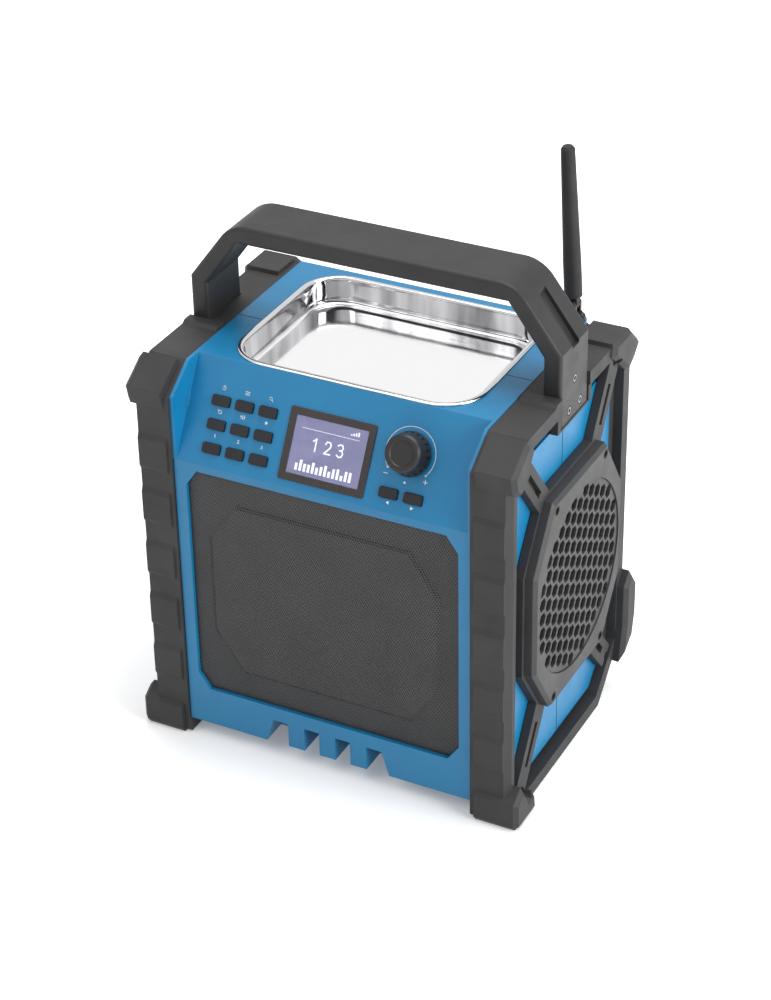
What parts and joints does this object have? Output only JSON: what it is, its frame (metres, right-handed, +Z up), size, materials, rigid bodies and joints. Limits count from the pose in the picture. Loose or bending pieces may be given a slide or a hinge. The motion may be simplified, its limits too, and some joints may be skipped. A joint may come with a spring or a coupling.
{
  "type": "jobsite radio",
  "caption": "Rugged portable radio with moulded side frames, a carrying handle, a steel tray on top, a sloped panel with screen, keys and knob, and side loudspeakers.",
  "frame": {"origin": "on the ground, under the middle of the bounding box", "axes": "+X to the right as seen from the front, +Y to the back, +Z up"},
  "size_m": [0.29, 0.204, 0.412],
  "materials": {
    "blue_shell": "fine satin texture",
    "grille_black": "powder coat",
    "bumper_grey": "matt moulded texture",
    "handle_grey": "matt moulded texture",
    "guard_grey": "satin",
    "mesh_black": "satin",
    "tray_steel": "mirror polish",
    "bezel_dark": "gloss",
    "lens_clear": "clear",
    "screen_face": "gloss",
    "button_grey": "satin",
    "knob_black": "satin",
    "shaft_metal": "turned",
    "screw_black": "black oxide",
    "board_green": "satin",
    "basket_black": "satin",
    "cone_black": "matt",
    "battery_black": "satin",
    "soft_black": "matt",
    "pin_steel": "drawn"
  },
  "bodies": {
    "chassis": {"antenna_socket": "basket_black", "battery_bay": "battery_black", "battery_pack": "battery_black", "button_board": "board_green", "cover_strip": "soft_black", "display_bezel": "bezel_dark", "display_lens": "lens_clear", "door_hinge_pin": "pin_steel", "encoder_body": "shaft_metal", "frame_screws": "screw_black", "front_grille": "grille_black", "front_housing": "blue_shell", "guard_screws": "screw_black", "handle": "handle_grey", "handle_screws": "screw_black", "left_driver_basket": "basket_black", "left_driver_cone": "cone_black", "left_side_frame": "bumper_grey", "left_speaker_guard": "guard_grey", "left_speaker_mesh": "mesh_black", "main_board": "board_green", "rear_housing": "blue_shell", "right_driver_basket": "basket_black", "right_driver_cone": "cone_black", "right_side_frame": "bumper_grey", "right_speaker_guard": "guard_grey", "right_speaker_mesh": "mesh_black", "screen_module": "screen_face", "socket_block": "battery_black", "tray": "tray_steel", "woofer_basket": "basket_black", "woofer_cone": "cone_black"},
    "knob_push": {"encoder_plunger": "shaft_metal"},
    "knob": {"volume_knob": "knob_black", "knob_shaft": "shaft_metal"},
    "antenna_base": {"antenna_swivel": "basket_black"},
    "antenna": {"antenna_whip": "soft_black"},
    "door": {"battery_door": "handle_grey"},
    "flap": {"socket_cover": "soft_black"},
    "button_back": {"button_back": "button_grey"},
    "button_mode": {"button_mode": "button_grey"},
    "button_next": {"button_next": "button_grey"},
    "button_one": {"button_one": "button_grey"},
    "button_power": {"button_power": "button_grey"},
    "button_preset": {"button_preset": "button_grey"},
    "button_previous": {"button_previous": "button_grey"},
    "button_scan": {"button_scan": "button_grey"},
    "button_sound": {"button_sound": "button_grey"},
    "button_three": {"button_three": "button_grey"},
    "button_two": {"button_two": "button_grey"}
  },
  "joints": [
    {"name": "knob_press", "type": "slide", "parent": "chassis", "child": "knob_push", "axis": [0, 0.8682, -0.4961], "range_m": [0, 0.0007], "stiffness_N_per_m": 2500, "springref_m": -0.0008},
    {"name": "knob_turn", "type": "hinge", "parent": "knob_push", "child": "knob", "pos_m": [0.0573, -0.07715, 0.25903], "axis": [0, -0.8682, 0.4961], "continuous": true},
    {"name": "button_back_press", "type": "slide", "parent": "chassis", "child": "button_back", "axis": [0, 0.8682, -0.4961], "range_m": [0, 0.001], "stiffness_N_per_m": 1500, "springref_m": -0.0006},
    {"name": "button_mode_press", "type": "slide", "parent": "chassis", "child": "button_mode", "axis": [0, 0.8682, -0.4961], "range_m": [0, 0.001], "stiffness_N_per_m": 1500, "springref_m": -0.0006},
    {"name": "button_next_press", "type": "slide", "parent": "chassis", "child": "button_next", "axis": [0, 0.8682, -0.4961], "range_m": [0, 0.001], "stiffness_N_per_m": 1500, "springref_m": -0.0006},
    {"name": "button_one_press", "type": "slide", "parent": "chassis", "child": "button_one", "axis": [0, 0.8682, -0.4961], "range_m": [0, 0.001], "stiffness_N_per_m": 1500, "springref_m": -0.0006},
    {"name": "button_power_press", "type": "slide", "parent": "chassis", "child": "button_power", "axis": [0, 0.8682, -0.4961], "range_m": [0, 0.001], "stiffness_N_per_m": 1500, "springref_m": -0.0006},
    {"name": "button_preset_press", "type": "slide", "parent": "chassis", "child": "button_preset", "axis": [0, 0.8682, -0.4961], "range_m": [0, 0.001], "stiffness_N_per_m": 1500, "springref_m": -0.0006},
    {"name": "button_previous_press", "type": "slide", "parent": "chassis", "child": "button_previous", "axis": [0, 0.8682, -0.4961], "range_m": [0, 0.001], "stiffness_N_per_m": 1500, "springref_m": -0.0006},
    {"name": "button_scan_press", "type": "slide", "parent": "chassis", "child": "button_scan", "axis": [0, 0.8682, -0.4961], "range_m": [0, 0.001], "stiffness_N_per_m": 1500, "springref_m": -0.0006},
    {"name": "button_sound_press", "type": "slide", "parent": "chassis", "child": "button_sound", "axis": [0, 0.8682, -0.4961], "range_m": [0, 0.001], "stiffness_N_per_m": 1500, "springref_m": -0.0006},
    {"name": "button_three_press", "type": "slide", "parent": "chassis", "child": "button_three", "axis": [0, 0.8682, -0.4961], "range_m": [0, 0.001], "stiffness_N_per_m": 1500, "springref_m": -0.0006},
    {"name": "button_two_press", "type": "slide", "parent": "chassis", "child": "button_two", "axis": [0, 0.8682, -0.4961], "range_m": [0, 0.001], "stiffness_N_per_m": 1500, "springref_m": -0.0006},
    {"name": "antenna_turn", "type": "hinge", "parent": "chassis", "child": "antenna_base", "pos_m": [0.098, 0.086, 0.299], "axis": [0, 0, 1], "range_deg": [-180, 180]},
    {"name": "antenna_tilt", "type": "hinge", "parent": "antenna_base", "child": "antenna", "pos_m": [0.098, 0.086, 0.299], "axis": [0, -1, 0], "range_deg": [-3.4, 85]},
    {"name": "door_swing", "type": "hinge", "parent": "chassis", "child": "door", "pos_m": [0, 0.0916, 0.1736], "axis": [1, 0, 0], "range_deg": [0, 110]},
    {"name": "flap_swing", "type": "hinge", "parent": "chassis", "child": "flap", "pos_m": [0.081, 0.0903, 0.225], "axis": [1, 0, 0], "range_deg": [0, 100], "stiffness_Nm_per_rad": 0.004}
  ]
}
